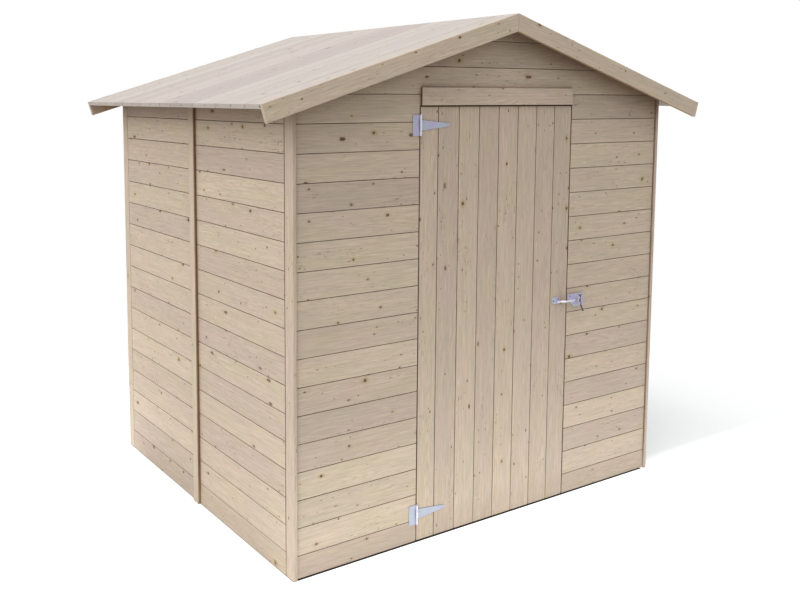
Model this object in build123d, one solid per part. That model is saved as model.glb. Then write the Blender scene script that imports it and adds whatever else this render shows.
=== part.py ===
"""Wooden garden shed: boarded walls on a light timber frame, a gable roof of boards running from ridge to
eave, and one ledged and braced door on T-hinges with an automatic gate latch.

Millimetres, +Z up, +Y towards the back wall. The origin is on the ground under the middle of the roof.
"""
import os
from math import cos, radians, sin, tan

from build123d import *

# Overall sizes
WALL_WIDTH = 1860            # across the outer faces of the side boards
WALL_DEPTH = 1546            # from the front boards' outer face to the back boards' outer face
RIDGE_HEIGHT = 1987          # ground to the top of the roof boards at the ridge
ROOF_PITCH = radians(17)
EAVE_OVERHANG = 160          # level distance from the side boards to the eave edge
FRONT_OVERHANG = 90          # front boards' face to the front barge boards' outer face
BACK_OVERHANG = 28           # back boards' face to the back barge boards' outer face

# Boards and trims
BOARD_THICKNESS = 14
GROUND_GAP = 5               # under the front and back boards
TRIM_WIDTH = 55
TRIM_REVEAL = 7              # corner trims stand this far out beyond the front and back boards
BATTEN_WIDTH = 45
BATTEN_THICKNESS = 12
ROOF_BOARD_THICKNESS = 16
BARGE_HEIGHT = 64            # square to the slope
BARGE_THICKNESS = 16

# Frame timber
FRAME_WIDTH = 45
FRAME_THICKNESS = 28
MIDDLE_POST_WIDTH = 60
RIDGE_BEAM_DEPTH = 60
STOP_WIDTH = 12
STOP_DEPTH = 18
STOP_JOINT = 1               # between the side stops and the head stop
SILL_HEIGHT = 30

# Door
LEAF_WIDTH = 776
DOORWAY_HEIGHT = 1647
DOOR_GAP = 5.5               # leaf to boards, header and ground
STOP_GAP = 5                 # leaf's back to the stops and the sill
HEADER_HEIGHT = 65
HEADER_THICKNESS = 9
LEDGE_WIDTH = 95
LEDGE_THICKNESS = 18
LEDGE_SETBACK = 30           # ledge end to the leaf's edge
LOWER_HINGE_HEIGHT = 109
UPPER_HINGE_HEIGHT = 1575
LATCH_HEIGHT = 839
BRACE_WIDTH = 70

# T-hinges
HINGE_SHEET = 2
HINGE_PLATE_WIDTH = 34
HINGE_PLATE_HEIGHT = 76
STRAP_LENGTH = 137
STRAP_ROOT_HEIGHT = 39
STRAP_TIP_HEIGHT = 14
KNUCKLE_RADIUS = 4.5
PIN_RADIUS = 2.5
PIN_CLEARANCE = 0.05
KNUCKLE_GAP = 0.5
PIN_HEAD_RADIUS = 3.6
PIN_HEAD_HEIGHT = 1.5

# Gate latch
STRIKER_BAR_RADIUS = 4.5
STRIKER_PLATE_FROM_EDGE = 60     # leaf's free edge to the striker plate's middle
STRIKER_PLATE_WIDTH = 44
STRIKER_PLATE_HEIGHT = 28
STRIKER_PLATE_RISE = 5           # plate's middle above the bar
BAR_STANDOFF = 18                # wall face to the bar's axis
BAR_FOOT = 22                    # length of the bar that lies on its plate
BAR_CRANK = 20                   # level length of the bend that brings the bar out
BAR_BEND_RADIUS = 12
BAR_REACH = 64                   # bar's end past the leaf's free edge
BAR_WELD = 0.5                   # bar sunk into its plate
JAW_FROM_LEAF = 48               # leaf's free edge to the jaw
JAW_SHEET = 3
JAW_REACH = 34
JAW_ABOVE_BAR = 23
JAW_BELOW_BAR = 20
JAW_EAR_REACH = 19               # jaw's reach at its top, past the pawl's rivet
JAW_SHOULDER = 10                # above the bar, where the jaw starts to slope back to its ear
BAR_CLEARANCE = 3                # around the bar in the jaw and at the pawl
LATCH_PLATE_WIDTH = 92
LATCH_PLATE_ABOVE_BAR = 23
LATCH_PLATE_BELOW_BAR = 32
PAWL_THICKNESS = 4
PAWL_GAP = 0.5                   # each side of the pawl on its rivet
PAWL_HUB_RADIUS = 6
PIVOT_STANDOFF = 13
PIVOT_ABOVE_BAR = 16
RIVET_HEAD_RADIUS = 4.5
RIVET_HEAD_HEIGHT = 2
HOOK_WIDTH = 6.5
HOOK_DROP = 14                   # hook's lower end below the bar's axis
TAIL_DROP = 43
TAIL_KICK = 18                   # tail's end stands this far out past the hook

# Places worked out from the sizes
ROOF_LENGTH = FRONT_OVERHANG + WALL_DEPTH + BACK_OVERHANG
FRONT = -ROOF_LENGTH / 2 + FRONT_OVERHANG        # front boards' outer face
BACK = FRONT + WALL_DEPTH                        # back boards' outer face
OUTSIDE = WALL_WIDTH / 2                         # side boards' outer face
INSIDE = OUTSIDE - BOARD_THICKNESS               # side boards' inner face
FRAME_INSIDE = INSIDE - FRAME_THICKNESS
FRONT_INSIDE = FRONT + BOARD_THICKNESS
BACK_INSIDE = BACK - BOARD_THICKNESS
MIDDLE = (FRONT + BACK) / 2
TRIM_FRONT = FRONT - TRIM_REVEAL
TRIM_BACK = BACK + TRIM_REVEAL
ROOF_FRONT = FRONT - FRONT_OVERHANG + BARGE_THICKNESS
ROOF_BACK = BACK + BACK_OVERHANG - BARGE_THICKNESS
SLOPE_LENGTH = (OUTSIDE + EAVE_OVERHANG) / cos(ROOF_PITCH)
RAIL_DEPTH = ROOF_BOARD_THICKNESS + FRAME_WIDTH  # roof top to a gable rail's lower edge, square to the slope
LEAF_EDGE = LEAF_WIDTH / 2
DOORWAY_EDGE = LEAF_EDGE + DOOR_GAP
LEAF_TOP = DOORWAY_HEIGHT - DOOR_GAP
DOOR_POST_OUTER = DOORWAY_EDGE + FRAME_WIDTH
LATCH_RIGHT_OF = LEAF_EDGE + DOOR_GAP + 4        # latch plate's near edge
PIN_X = -(LEAF_EDGE + DOOR_GAP / 2)
PIN_Y = FRONT - KNUCKLE_RADIUS
BORE_RADIUS = PIN_RADIUS + PIN_CLEARANCE


def below_roof(x, depth):
    """Height of the plane that lies depth below the roof's top, square to the slope."""
    return RIDGE_HEIGHT - abs(x) * tan(ROOF_PITCH) - depth / cos(ROOF_PITCH)


def on_slope(down, depth):
    """(x, z) at a distance down the right-hand slope and a depth square to it."""
    x = down * cos(ROOF_PITCH) - depth * sin(ROOF_PITCH)
    return x, RIDGE_HEIGHT - down * sin(ROOF_PITCH) - depth * cos(ROOF_PITCH)


def block(x0, x1, y0, y1, z0, z1):
    """Box between two corners."""
    centre = Pos((x0 + x1) / 2, (y0 + y1) / 2, (z0 + z1) / 2)
    return centre * Box(x1 - x0, y1 - y0, z1 - z0)


def upright(outline, y0, y1):
    """Solid with an outline of (x, z) points, from y0 to y1."""
    face = Face(Wire.make_polygon([(x, y0, z) for x, z in outline]))
    return Solid.extrude(face, Vector(0, y1 - y0, 0))


def crosswise(outline, x0, x1):
    """Solid with an outline of (y, z) points, from x0 to x1."""
    face = Face(Wire.make_polygon([(x0, y, z) for y, z in outline]))
    return Solid.extrude(face, Vector(x1 - x0, 0, 0))


def rod_z(x, y, z0, z1, radius):
    """Upright round rod."""
    return Pos(x, y, (z0 + z1) / 2) * Cylinder(radius, z1 - z0)


def rod_x(x0, x1, y, z, radius):
    """Round rod lying along X."""
    return Pos((x0 + x1) / 2, y, z) * Rot(0, 90, 0) * Cylinder(radius, x1 - x0)


def mirrored(shape):
    """The same piece on the other side of the shed."""
    return mirror(shape, about=Plane.YZ)


def save(node, *solids):
    """Write one sub-part, made of one solid or of several that stand apart."""
    shape = solids[0] if len(solids) == 1 else Compound(children=[Part(s.wrapped) for s in solids])
    export_step(shape, f"parts/{node}.step")


def wall_boards():
    """Front and back gable walls and the two panels of each side wall."""
    left = [
        (-INSIDE, GROUND_GAP),
        (-DOORWAY_EDGE, GROUND_GAP),
        (-DOORWAY_EDGE, below_roof(DOORWAY_EDGE, ROOF_BOARD_THICKNESS)),
        (-INSIDE, below_roof(INSIDE, ROOF_BOARD_THICKNESS)),
    ]
    over_door = [
        (-DOORWAY_EDGE, DOORWAY_HEIGHT),
        (DOORWAY_EDGE, DOORWAY_HEIGHT),
        (DOORWAY_EDGE, below_roof(DOORWAY_EDGE, ROOF_BOARD_THICKNESS)),
        (0, below_roof(0, ROOF_BOARD_THICKNESS)),
        (-DOORWAY_EDGE, below_roof(DOORWAY_EDGE, ROOF_BOARD_THICKNESS)),
    ]
    back = [
        (-INSIDE, GROUND_GAP),
        (INSIDE, GROUND_GAP),
        (INSIDE, below_roof(INSIDE, ROOF_BOARD_THICKNESS)),
        (0, below_roof(0, ROOF_BOARD_THICKNESS)),
        (-INSIDE, below_roof(INSIDE, ROOF_BOARD_THICKNESS)),
    ]
    front_left = upright(left, FRONT, FRONT_INSIDE)
    save("front_wall_left", front_left)
    save("front_wall_right", mirrored(front_left))
    save("front_wall_over_door", upright(over_door, FRONT, FRONT_INSIDE))
    save("back_wall", upright(back, BACK_INSIDE, BACK))
    side = side_outline()
    panels = {
        "front_panel": (TRIM_FRONT + TRIM_WIDTH, MIDDLE),
        "rear_panel": (MIDDLE, TRIM_BACK - TRIM_WIDTH),
    }
    for name, (y0, y1) in panels.items():
        panel = upright(side, y0, y1)
        save(f"right_wall_{name}", panel)
        save(f"left_wall_{name}", mirrored(panel))


def side_outline():
    """Section of a side wall's boards, with the top edge bevelled to the roof."""
    return [
        (INSIDE, 0),
        (OUTSIDE, 0),
        (OUTSIDE, below_roof(OUTSIDE, ROOF_BOARD_THICKNESS)),
        (INSIDE, below_roof(INSIDE, ROOF_BOARD_THICKNESS)),
    ]


def trims():
    """Corner trims flush with the side boards, and the battens over the panel joints."""
    side = side_outline()
    ends = {"front": (TRIM_FRONT, TRIM_FRONT + TRIM_WIDTH), "rear": (TRIM_BACK - TRIM_WIDTH, TRIM_BACK)}
    for name, (y0, y1) in ends.items():
        trim = upright(side, y0, y1)
        save(f"{name}_right_corner_trim", trim)
        save(f"{name}_left_corner_trim", mirrored(trim))
    face = OUTSIDE + BATTEN_THICKNESS
    outline = [
        (OUTSIDE, 0),
        (face, 0),
        (face, below_roof(face, ROOF_BOARD_THICKNESS)),
        (OUTSIDE, below_roof(OUTSIDE, ROOF_BOARD_THICKNESS)),
    ]
    batten = upright(outline, MIDDLE - BATTEN_WIDTH / 2, MIDDLE + BATTEN_WIDTH / 2)
    save("right_joint_batten", batten)
    save("left_joint_batten", mirrored(batten))


def side_frame():
    """Posts, bottom rails and wall plates behind the boards."""
    plate_bottom = below_roof(INSIDE, ROOF_BOARD_THICKNESS) - FRAME_WIDTH
    front_post = block(FRAME_INSIDE, INSIDE, FRONT_INSIDE, FRONT_INSIDE + FRAME_WIDTH, 0, plate_bottom)
    back_post = block(FRAME_INSIDE, INSIDE, BACK_INSIDE - FRAME_WIDTH, BACK_INSIDE, 0, plate_bottom)
    save("corner_posts", front_post, back_post, mirrored(front_post), mirrored(back_post))

    half = MIDDLE_POST_WIDTH / 2
    side_post = block(FRAME_INSIDE, INSIDE, MIDDLE - half, MIDDLE + half, 0, plate_bottom)
    back_middle = upright(gable_post_outline(), BACK_INSIDE - FRAME_THICKNESS, BACK_INSIDE)
    save("middle_posts", side_post, mirrored(side_post), back_middle, mirrored(back_middle))

    rails = []
    for y0, y1 in ((FRONT_INSIDE + FRAME_WIDTH, MIDDLE - half), (MIDDLE + half, BACK_INSIDE - FRAME_WIDTH)):
        rails.append(block(FRAME_INSIDE, INSIDE, y0, y1, 0, FRAME_WIDTH))
    front_y = (FRONT_INSIDE, FRONT_INSIDE + FRAME_THICKNESS)
    back_y = (BACK_INSIDE - FRAME_THICKNESS, BACK_INSIDE)
    rails.append(block(DOOR_POST_OUTER, FRAME_INSIDE, *front_y, 0, FRAME_WIDTH))
    rails.append(block(DOOR_POST_OUTER, FRAME_INSIDE, *back_y, 0, FRAME_WIDTH))
    rails += [mirrored(rail) for rail in rails]
    rails.append(block(-DOORWAY_EDGE, DOORWAY_EDGE, *back_y, 0, FRAME_WIDTH))
    save("bottom_rails", *rails)

    outline = [
        (FRAME_INSIDE, plate_bottom),
        (INSIDE, plate_bottom),
        (INSIDE, below_roof(INSIDE, ROOF_BOARD_THICKNESS)),
        (FRAME_INSIDE, below_roof(FRAME_INSIDE, ROOF_BOARD_THICKNESS)),
    ]
    plate = upright(outline, FRONT_INSIDE, BACK_INSIDE)
    save("wall_plates", plate, mirrored(plate))


def gable_post_outline():
    """A post beside the doorway, and its twin in the back wall, cut to the gable rail above it."""
    return [
        (DOORWAY_EDGE, 0),
        (DOOR_POST_OUTER, 0),
        (DOOR_POST_OUTER, below_roof(DOOR_POST_OUTER, RAIL_DEPTH)),
        (DOORWAY_EDGE, below_roof(DOORWAY_EDGE, RAIL_DEPTH)),
    ]


def doorway_frame():
    """Door posts, head rail, sill, stops and the header board outside."""
    back = FRONT_INSIDE + FRAME_THICKNESS
    post = upright(gable_post_outline(), FRONT_INSIDE, back)
    save("right_door_post", post)
    save("left_door_post", mirrored(post))
    head_top = DOORWAY_HEIGHT + FRAME_WIDTH
    save("door_head_rail", block(-DOORWAY_EDGE, DOORWAY_EDGE, FRONT_INSIDE, back, DOORWAY_HEIGHT, head_top))
    stop_front = FRONT_INSIDE + STOP_GAP
    stop_back = stop_front + STOP_DEPTH
    save("door_sill", block(-DOORWAY_EDGE, DOORWAY_EDGE, stop_front, back, 0, SILL_HEIGHT))
    stop_top = DOORWAY_HEIGHT - STOP_WIDTH - STOP_JOINT
    side_stop = block(DOORWAY_EDGE - STOP_WIDTH, DOORWAY_EDGE, stop_front, stop_back, SILL_HEIGHT, stop_top)
    head_stop = block(
        -DOORWAY_EDGE, DOORWAY_EDGE, stop_front, stop_back, DOORWAY_HEIGHT - STOP_WIDTH, DOORWAY_HEIGHT
    )
    save("door_stops", side_stop, mirrored(side_stop), head_stop)
    header_top = DOORWAY_HEIGHT + HEADER_HEIGHT
    save("header_board", block(-LEAF_EDGE, LEAF_EDGE, FRONT - HEADER_THICKNESS, FRONT, DOORWAY_HEIGHT, header_top))


def roof():
    """Gable rails, ridge beam, purlins, roof boards and barge boards."""
    beam_edge = FRAME_THICKNESS / 2
    rail_outline = [
        (beam_edge, below_roof(beam_edge, RAIL_DEPTH)),
        (FRAME_INSIDE, below_roof(FRAME_INSIDE, RAIL_DEPTH)),
        (FRAME_INSIDE, below_roof(FRAME_INSIDE, ROOF_BOARD_THICKNESS)),
        (beam_edge, below_roof(beam_edge, ROOF_BOARD_THICKNESS)),
    ]
    front_rail = upright(rail_outline, FRONT_INSIDE, FRONT_INSIDE + FRAME_THICKNESS)
    back_rail = upright(rail_outline, BACK_INSIDE - FRAME_THICKNESS, BACK_INSIDE)
    save("front_gable_rails", front_rail, mirrored(front_rail))
    save("back_gable_rails", back_rail, mirrored(back_rail))

    apex = below_roof(0, ROOF_BOARD_THICKNESS)
    beam_outline = [
        (-beam_edge, apex - RIDGE_BEAM_DEPTH),
        (beam_edge, apex - RIDGE_BEAM_DEPTH),
        (beam_edge, below_roof(beam_edge, ROOF_BOARD_THICKNESS)),
        (0, apex),
        (-beam_edge, below_roof(beam_edge, ROOF_BOARD_THICKNESS)),
    ]
    save("ridge_beam", upright(beam_outline, FRONT_INSIDE, BACK_INSIDE))

    half_way = FRAME_INSIDE / 2 / cos(ROOF_PITCH)
    purlin_outline = [
        on_slope(half_way - beam_edge, ROOF_BOARD_THICKNESS),
        on_slope(half_way + beam_edge, ROOF_BOARD_THICKNESS),
        on_slope(half_way + beam_edge, RAIL_DEPTH),
        on_slope(half_way - beam_edge, RAIL_DEPTH),
    ]
    purlin = upright(purlin_outline, FRONT_INSIDE + FRAME_THICKNESS, BACK_INSIDE - FRAME_THICKNESS)
    save("purlins", purlin, mirrored(purlin))

    boards = upright(pitched_outline(ROOF_BOARD_THICKNESS), ROOF_FRONT, ROOF_BACK)
    save("right_roof_boards", boards)
    save("left_roof_boards", mirrored(boards))
    barges = {
        "front": (ROOF_FRONT - BARGE_THICKNESS, ROOF_FRONT),
        "rear": (ROOF_BACK, ROOF_BACK + BARGE_THICKNESS),
    }
    for name, (y0, y1) in barges.items():
        barge = upright(pitched_outline(BARGE_HEIGHT), y0, y1)
        save(f"{name}_right_barge", barge)
        save(f"{name}_left_barge", mirrored(barge))


def pitched_outline(depth):
    """A strip along the right-hand slope, plumb at the ridge and cut square at the eave."""
    return [
        (0, below_roof(0, 0)),
        on_slope(SLOPE_LENGTH, 0),
        on_slope(SLOPE_LENGTH, depth),
        (0, below_roof(0, depth)),
    ]


def door():
    """Leaf of upright boards with three ledges and two braces on its back."""
    save("door_boards", block(-LEAF_EDGE, LEAF_EDGE, FRONT, FRONT_INSIDE, DOOR_GAP, LEAF_TOP))
    ledge_end = LEAF_EDGE - LEDGE_SETBACK
    ledge_y = (FRONT_INSIDE, FRONT_INSIDE + LEDGE_THICKNESS)
    half = LEDGE_WIDTH / 2
    heights = (LOWER_HINGE_HEIGHT, LATCH_HEIGHT, UPPER_HINGE_HEIGHT)
    ledges = [block(-ledge_end, ledge_end, *ledge_y, z - half, z + half) for z in heights]
    save("door_ledges", *ledges)
    braces = []
    for low, high in zip(heights[:-1], heights[1:]):
        outline = [
            (-ledge_end, low + half),
            (-ledge_end + BRACE_WIDTH, low + half),
            (ledge_end, high - half),
            (ledge_end - BRACE_WIDTH, high - half),
        ]
        braces.append(upright(outline, *ledge_y))
    save("door_braces", *braces)


def hinges():
    """Two T-hinges: plate and outer knuckles on the wall, strap and middle knuckle on the door, and a pin."""
    pins = []
    half_plate = HINGE_PLATE_HEIGHT / 2
    half_root = STRAP_ROOT_HEIGHT / 2
    half_tip = STRAP_TIP_HEIGHT / 2
    free = KNUCKLE_RADIUS + KNUCKLE_GAP
    for name, height in (("lower", LOWER_HINGE_HEIGHT), ("upper", UPPER_HINGE_HEIGHT)):
        low, high = height - half_plate, height + half_plate
        plate = block(PIN_X - HINGE_PLATE_WIDTH, PIN_X, FRONT - HINGE_SHEET, FRONT, low, high)
        notch = half_root + KNUCKLE_GAP
        plate += rod_z(PIN_X, PIN_Y, low, high, KNUCKLE_RADIUS)
        plate -= block(PIN_X - free, PIN_X + free, PIN_Y - free, FRONT, height - notch, height + notch)
        plate -= rod_z(PIN_X, PIN_Y, low, high, BORE_RADIUS)
        save(f"{name}_hinge_plate", *plate.solids())

        root_x = PIN_X + KNUCKLE_RADIUS
        tip_x = PIN_X + STRAP_LENGTH - half_tip
        outline = [
            (PIN_X, height - half_root),
            (root_x, height - half_root),
            (tip_x, height - half_tip),
            (tip_x, height + half_tip),
            (root_x, height + half_root),
            (PIN_X, height + half_root),
        ]
        strap = upright(outline, FRONT - HINGE_SHEET, FRONT)
        strap += Pos(tip_x, FRONT - HINGE_SHEET / 2, height) * Rot(90, 0, 0) * Cylinder(half_tip, HINGE_SHEET)
        strap += rod_z(PIN_X, PIN_Y, height - half_root, height + half_root, KNUCKLE_RADIUS)
        strap -= rod_z(PIN_X, PIN_Y, height - half_root, height + half_root, BORE_RADIUS)
        save(f"{name}_hinge_strap", *strap.solids())

        pin = rod_z(PIN_X, PIN_Y, low, high, PIN_RADIUS)
        pin += rod_z(PIN_X, PIN_Y, high, high + PIN_HEAD_HEIGHT, PIN_HEAD_RADIUS)
        pin += rod_z(PIN_X, PIN_Y, low - PIN_HEAD_HEIGHT, low, PIN_HEAD_RADIUS)
        pins.append(pin)
    save("hinge_pins", *pins)


def latch():
    """Striker bar on the door, and on the wall a slotted jaw with a pawl that drops in front of the bar."""
    plate_x = LEAF_EDGE - STRIKER_PLATE_FROM_EDGE
    plate_z = LATCH_HEIGHT + STRIKER_PLATE_RISE
    corner = STRIKER_PLATE_HEIGHT / 3
    outline = RectangleRounded(STRIKER_PLATE_WIDTH, STRIKER_PLATE_HEIGHT, corner)
    striker = Pos(plate_x, FRONT, plate_z) * Rot(90, 0, 0) * extrude(outline, HINGE_SHEET)
    foot_y = FRONT - HINGE_SHEET - STRIKER_BAR_RADIUS + BAR_WELD
    bar_y = FRONT - BAR_STANDOFF
    route = FilletPolyline(
        (plate_x, foot_y, LATCH_HEIGHT),
        (plate_x + BAR_FOOT, foot_y, LATCH_HEIGHT),
        (plate_x + BAR_FOOT + BAR_CRANK, bar_y, LATCH_HEIGHT),
        (LEAF_EDGE + BAR_REACH, bar_y, LATCH_HEIGHT),
        radius=BAR_BEND_RADIUS,
    )
    section = Plane(origin=(plate_x, foot_y, LATCH_HEIGHT), z_dir=(1, 0, 0)) * Circle(STRIKER_BAR_RADIUS)
    striker += sweep(section, path=route)
    save("door_striker", *striker.solids())

    jaw_x = LEAF_EDGE + JAW_FROM_LEAF
    jaw_end = jaw_x + JAW_SHEET
    top = LATCH_HEIGHT + LATCH_PLATE_ABOVE_BAR
    low = LATCH_HEIGHT - LATCH_PLATE_BELOW_BAR
    near = LATCH_RIGHT_OF
    far = near + LATCH_PLATE_WIDTH
    plate_outline = [(near, top), (far, top), (far, low), (jaw_x, low), (near, LATCH_HEIGHT)]
    body = upright(plate_outline, FRONT - HINGE_SHEET, FRONT)
    jaw_front = FRONT - JAW_REACH
    slot = STRIKER_BAR_RADIUS + BAR_CLEARANCE
    jaw_outline = [
        (FRONT, LATCH_HEIGHT - JAW_BELOW_BAR),
        (jaw_front, LATCH_HEIGHT - JAW_BELOW_BAR),
        (jaw_front, LATCH_HEIGHT + JAW_SHOULDER),
        (FRONT - JAW_EAR_REACH, LATCH_HEIGHT + JAW_ABOVE_BAR),
        (FRONT, LATCH_HEIGHT + JAW_ABOVE_BAR),
    ]
    jaw = crosswise(jaw_outline, jaw_x, jaw_end)
    jaw -= block(jaw_x, jaw_end, jaw_front, bar_y + slot, LATCH_HEIGHT - slot, LATCH_HEIGHT + slot)
    pivot_y = FRONT - PIVOT_STANDOFF
    pivot_z = LATCH_HEIGHT + PIVOT_ABOVE_BAR
    pawl_x = jaw_end + PAWL_GAP
    head_x = pawl_x + PAWL_THICKNESS + PAWL_GAP
    body += jaw
    body += rod_x(jaw_x, head_x, pivot_y, pivot_z, PIN_RADIUS)
    body += rod_x(head_x, head_x + RIVET_HEAD_HEIGHT, pivot_y, pivot_z, RIVET_HEAD_RADIUS)
    save("latch_body", *body.solids())

    hook_back = bar_y - slot
    hook_front = hook_back - HOOK_WIDTH
    hook_low = LATCH_HEIGHT - HOOK_DROP
    tail_low = LATCH_HEIGHT - TAIL_DROP
    pawl_outline = [
        (pivot_y, pivot_z + PAWL_HUB_RADIUS),
        (hook_front, pivot_z + PAWL_HUB_RADIUS),
        (hook_front, hook_low),
        (hook_front - TAIL_KICK, tail_low),
        (hook_back - TAIL_KICK, tail_low),
        (hook_back, hook_low),
        (hook_back, pivot_z - PAWL_HUB_RADIUS),
        (pivot_y, pivot_z - PAWL_HUB_RADIUS),
    ]
    pawl = crosswise(pawl_outline, pawl_x, pawl_x + PAWL_THICKNESS)
    pawl += rod_x(pawl_x, pawl_x + PAWL_THICKNESS, pivot_y, pivot_z, PAWL_HUB_RADIUS)
    pawl -= rod_x(pawl_x, pawl_x + PAWL_THICKNESS, pivot_y, pivot_z, BORE_RADIUS)
    save("latch_pawl", *pawl.solids())


os.makedirs("parts", exist_ok=True)
wall_boards()
trims()
side_frame()
doorway_frame()
roof()
door()
hinges()
latch()
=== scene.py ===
"""Wooden garden shed: boards, frame, roof, door and fittings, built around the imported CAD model.

Metres, +Z up, +Y towards the back wall. The origin is on the ground under the middle of the roof.
"""

import random
from math import cos, pi, radians, sin

import bmesh
import bpy
from mathutils import Matrix, Vector


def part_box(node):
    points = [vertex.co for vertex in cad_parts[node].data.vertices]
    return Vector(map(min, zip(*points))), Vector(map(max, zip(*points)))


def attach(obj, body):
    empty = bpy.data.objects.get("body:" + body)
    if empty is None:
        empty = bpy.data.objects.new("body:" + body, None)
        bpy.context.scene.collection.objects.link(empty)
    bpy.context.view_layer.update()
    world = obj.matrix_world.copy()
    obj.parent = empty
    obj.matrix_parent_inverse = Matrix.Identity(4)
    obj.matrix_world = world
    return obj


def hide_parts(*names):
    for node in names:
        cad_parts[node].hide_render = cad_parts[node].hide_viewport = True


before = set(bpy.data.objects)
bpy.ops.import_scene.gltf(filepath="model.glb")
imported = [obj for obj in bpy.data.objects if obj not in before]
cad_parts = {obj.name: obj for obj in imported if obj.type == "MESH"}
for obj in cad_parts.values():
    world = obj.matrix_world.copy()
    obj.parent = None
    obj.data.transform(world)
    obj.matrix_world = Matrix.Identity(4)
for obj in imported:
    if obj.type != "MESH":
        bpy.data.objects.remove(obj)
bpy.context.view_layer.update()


# Sawn frame timber: posts, rails, plates, beam and purlins of spruce laths, cut square and nailed together
# behind the boards. Their arrises are only knocked off, and each stick has its own grain from its own log.
FRAME_NODES = [
    "corner_posts",
    "middle_posts",
    "bottom_rails",
    "wall_plates",
    "left_door_post",
    "right_door_post",
    "door_head_rail",
    "ridge_beam",
    "purlins",
]
SAWN_ARRIS = 0.0012
STICK_WIDTH = 0.06               # the log's heart lies somewhere across this width
PITH_DEPTH = (0.02, 0.09)        # and this deep under the face
ROOF_PITCH = radians(17)
SAME_POINT = 0.00002             # corners closer than this are one corner
X = Vector((1, 0, 0))
Y = Vector((0, 1, 0))
Z = Vector((0, 0, 1))


def down_roof(side):
    """Down the roof's slope on the left (-1) or the right (1)."""
    return Vector((side * cos(ROOF_PITCH), 0, -sin(ROOF_PITCH)))


def out_of_roof(side):
    """Square to the slope on the left (-1) or the right (1), away from the shed."""
    return Vector((side * sin(ROOF_PITCH), 0, cos(ROOF_PITCH)))


def timber_shape():
    """An empty bmesh that can carry a stick's grain and tint, and a joint mark for painted shade in joints
    and crevices.
    """
    shape = bmesh.new()
    shape.verts.layers.float_vector.new("grain")
    shape.verts.layers.float.new("tint")
    shape.verts.layers.float.new("joint")
    return shape


def joined(node):
    """A CAD node's shape as one bmesh with flat faces whole again."""
    shape = timber_shape()
    shape.from_mesh(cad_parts[node].data)
    bmesh.ops.remove_doubles(shape, verts=shape.verts, dist=SAME_POINT)
    bmesh.ops.dissolve_limit(shape, angle_limit=radians(1), verts=shape.verts, edges=shape.edges)
    return shape


def round_over(shape, edges, arris):
    """Rounds the edges given."""
    bmesh.ops.bevel(
        shape,
        geom=edges,
        offset=arris,
        offset_type="OFFSET",
        segments=2,
        profile=0.5,
        affect="EDGES",
        clamp_overlap=True,
        material=-1,
    )


def ease_edges(shape, arris, sharp=radians(25)):
    """Rounds every edge that turns by more than the given angle."""
    turned = [e for e in shape.edges if len(e.link_faces) == 2 and e.calc_face_angle() > sharp]
    round_over(shape, turned, arris)


def sticks_in(shape):
    """The vertices of each separate stick."""
    left = set(shape.verts)
    sticks = []
    for first in list(shape.verts):
        if first not in left:
            continue
        left.discard(first)
        stick = [first]
        for vert in stick:
            for edge in vert.link_edges:
                other = edge.other_vert(vert)
                if other in left:
                    left.discard(other)
                    stick.append(other)
        sticks.append(stick)
    return sticks


def lay_grain(shape, verts, origin, along, across, inward, width, dice):
    """Gives one stick its grain: metres along, across and into the log it was sawn from, and its tint."""
    grain = shape.verts.layers.float_vector["grain"]
    tint = shape.verts.layers.float["tint"]
    down_log = dice.uniform(1, 60)
    pith_across = width * dice.uniform(0.1, 0.9)
    pith_depth = dice.uniform(*PITH_DEPTH)
    lean = dice.uniform(-0.012, 0.012)
    taper = dice.uniform(0.006, 0.03) * dice.choice((-1, 1))
    shade = dice.random()
    for vert in verts:
        place = vert.co - origin
        run = place.dot(along)
        vert[grain] = Vector((
            run + down_log,
            place.dot(across) - pith_across + lean * run,
            place.dot(inward) + pith_depth + taper * run,
        ))
        vert[tint] = shade


def grain_of_sticks(shape, dice):
    """Lays the grain of every stick along its longest side."""
    for verts in sticks_in(shape):
        low = Vector([min(v.co[i] for v in verts) for i in range(3)])
        high = Vector([max(v.co[i] for v in verts) for i in range(3)])
        size = high - low
        axes = sorted((X, Y, Z), key=lambda axis: -size.dot(axis))
        length = axes[0]
        thin = min(axes[1:], key=size.dot)
        lay_grain(shape, verts, low, length, thin.cross(length), thin, STICK_WIDTH, dice)


def finish_piece(shape, name, material, body, nodes):
    """Turns a bmesh into a finished piece that rides on its body and stands for its CAD nodes."""
    mesh = bpy.data.meshes.new(name)
    shape.to_mesh(mesh)
    shape.free()
    piece = bpy.data.objects.new(name, mesh)
    bpy.context.scene.collection.objects.link(piece)
    mesh.materials.append(material)
    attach(piece, body)
    if nodes:
        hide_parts(*nodes)
    return piece


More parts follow.
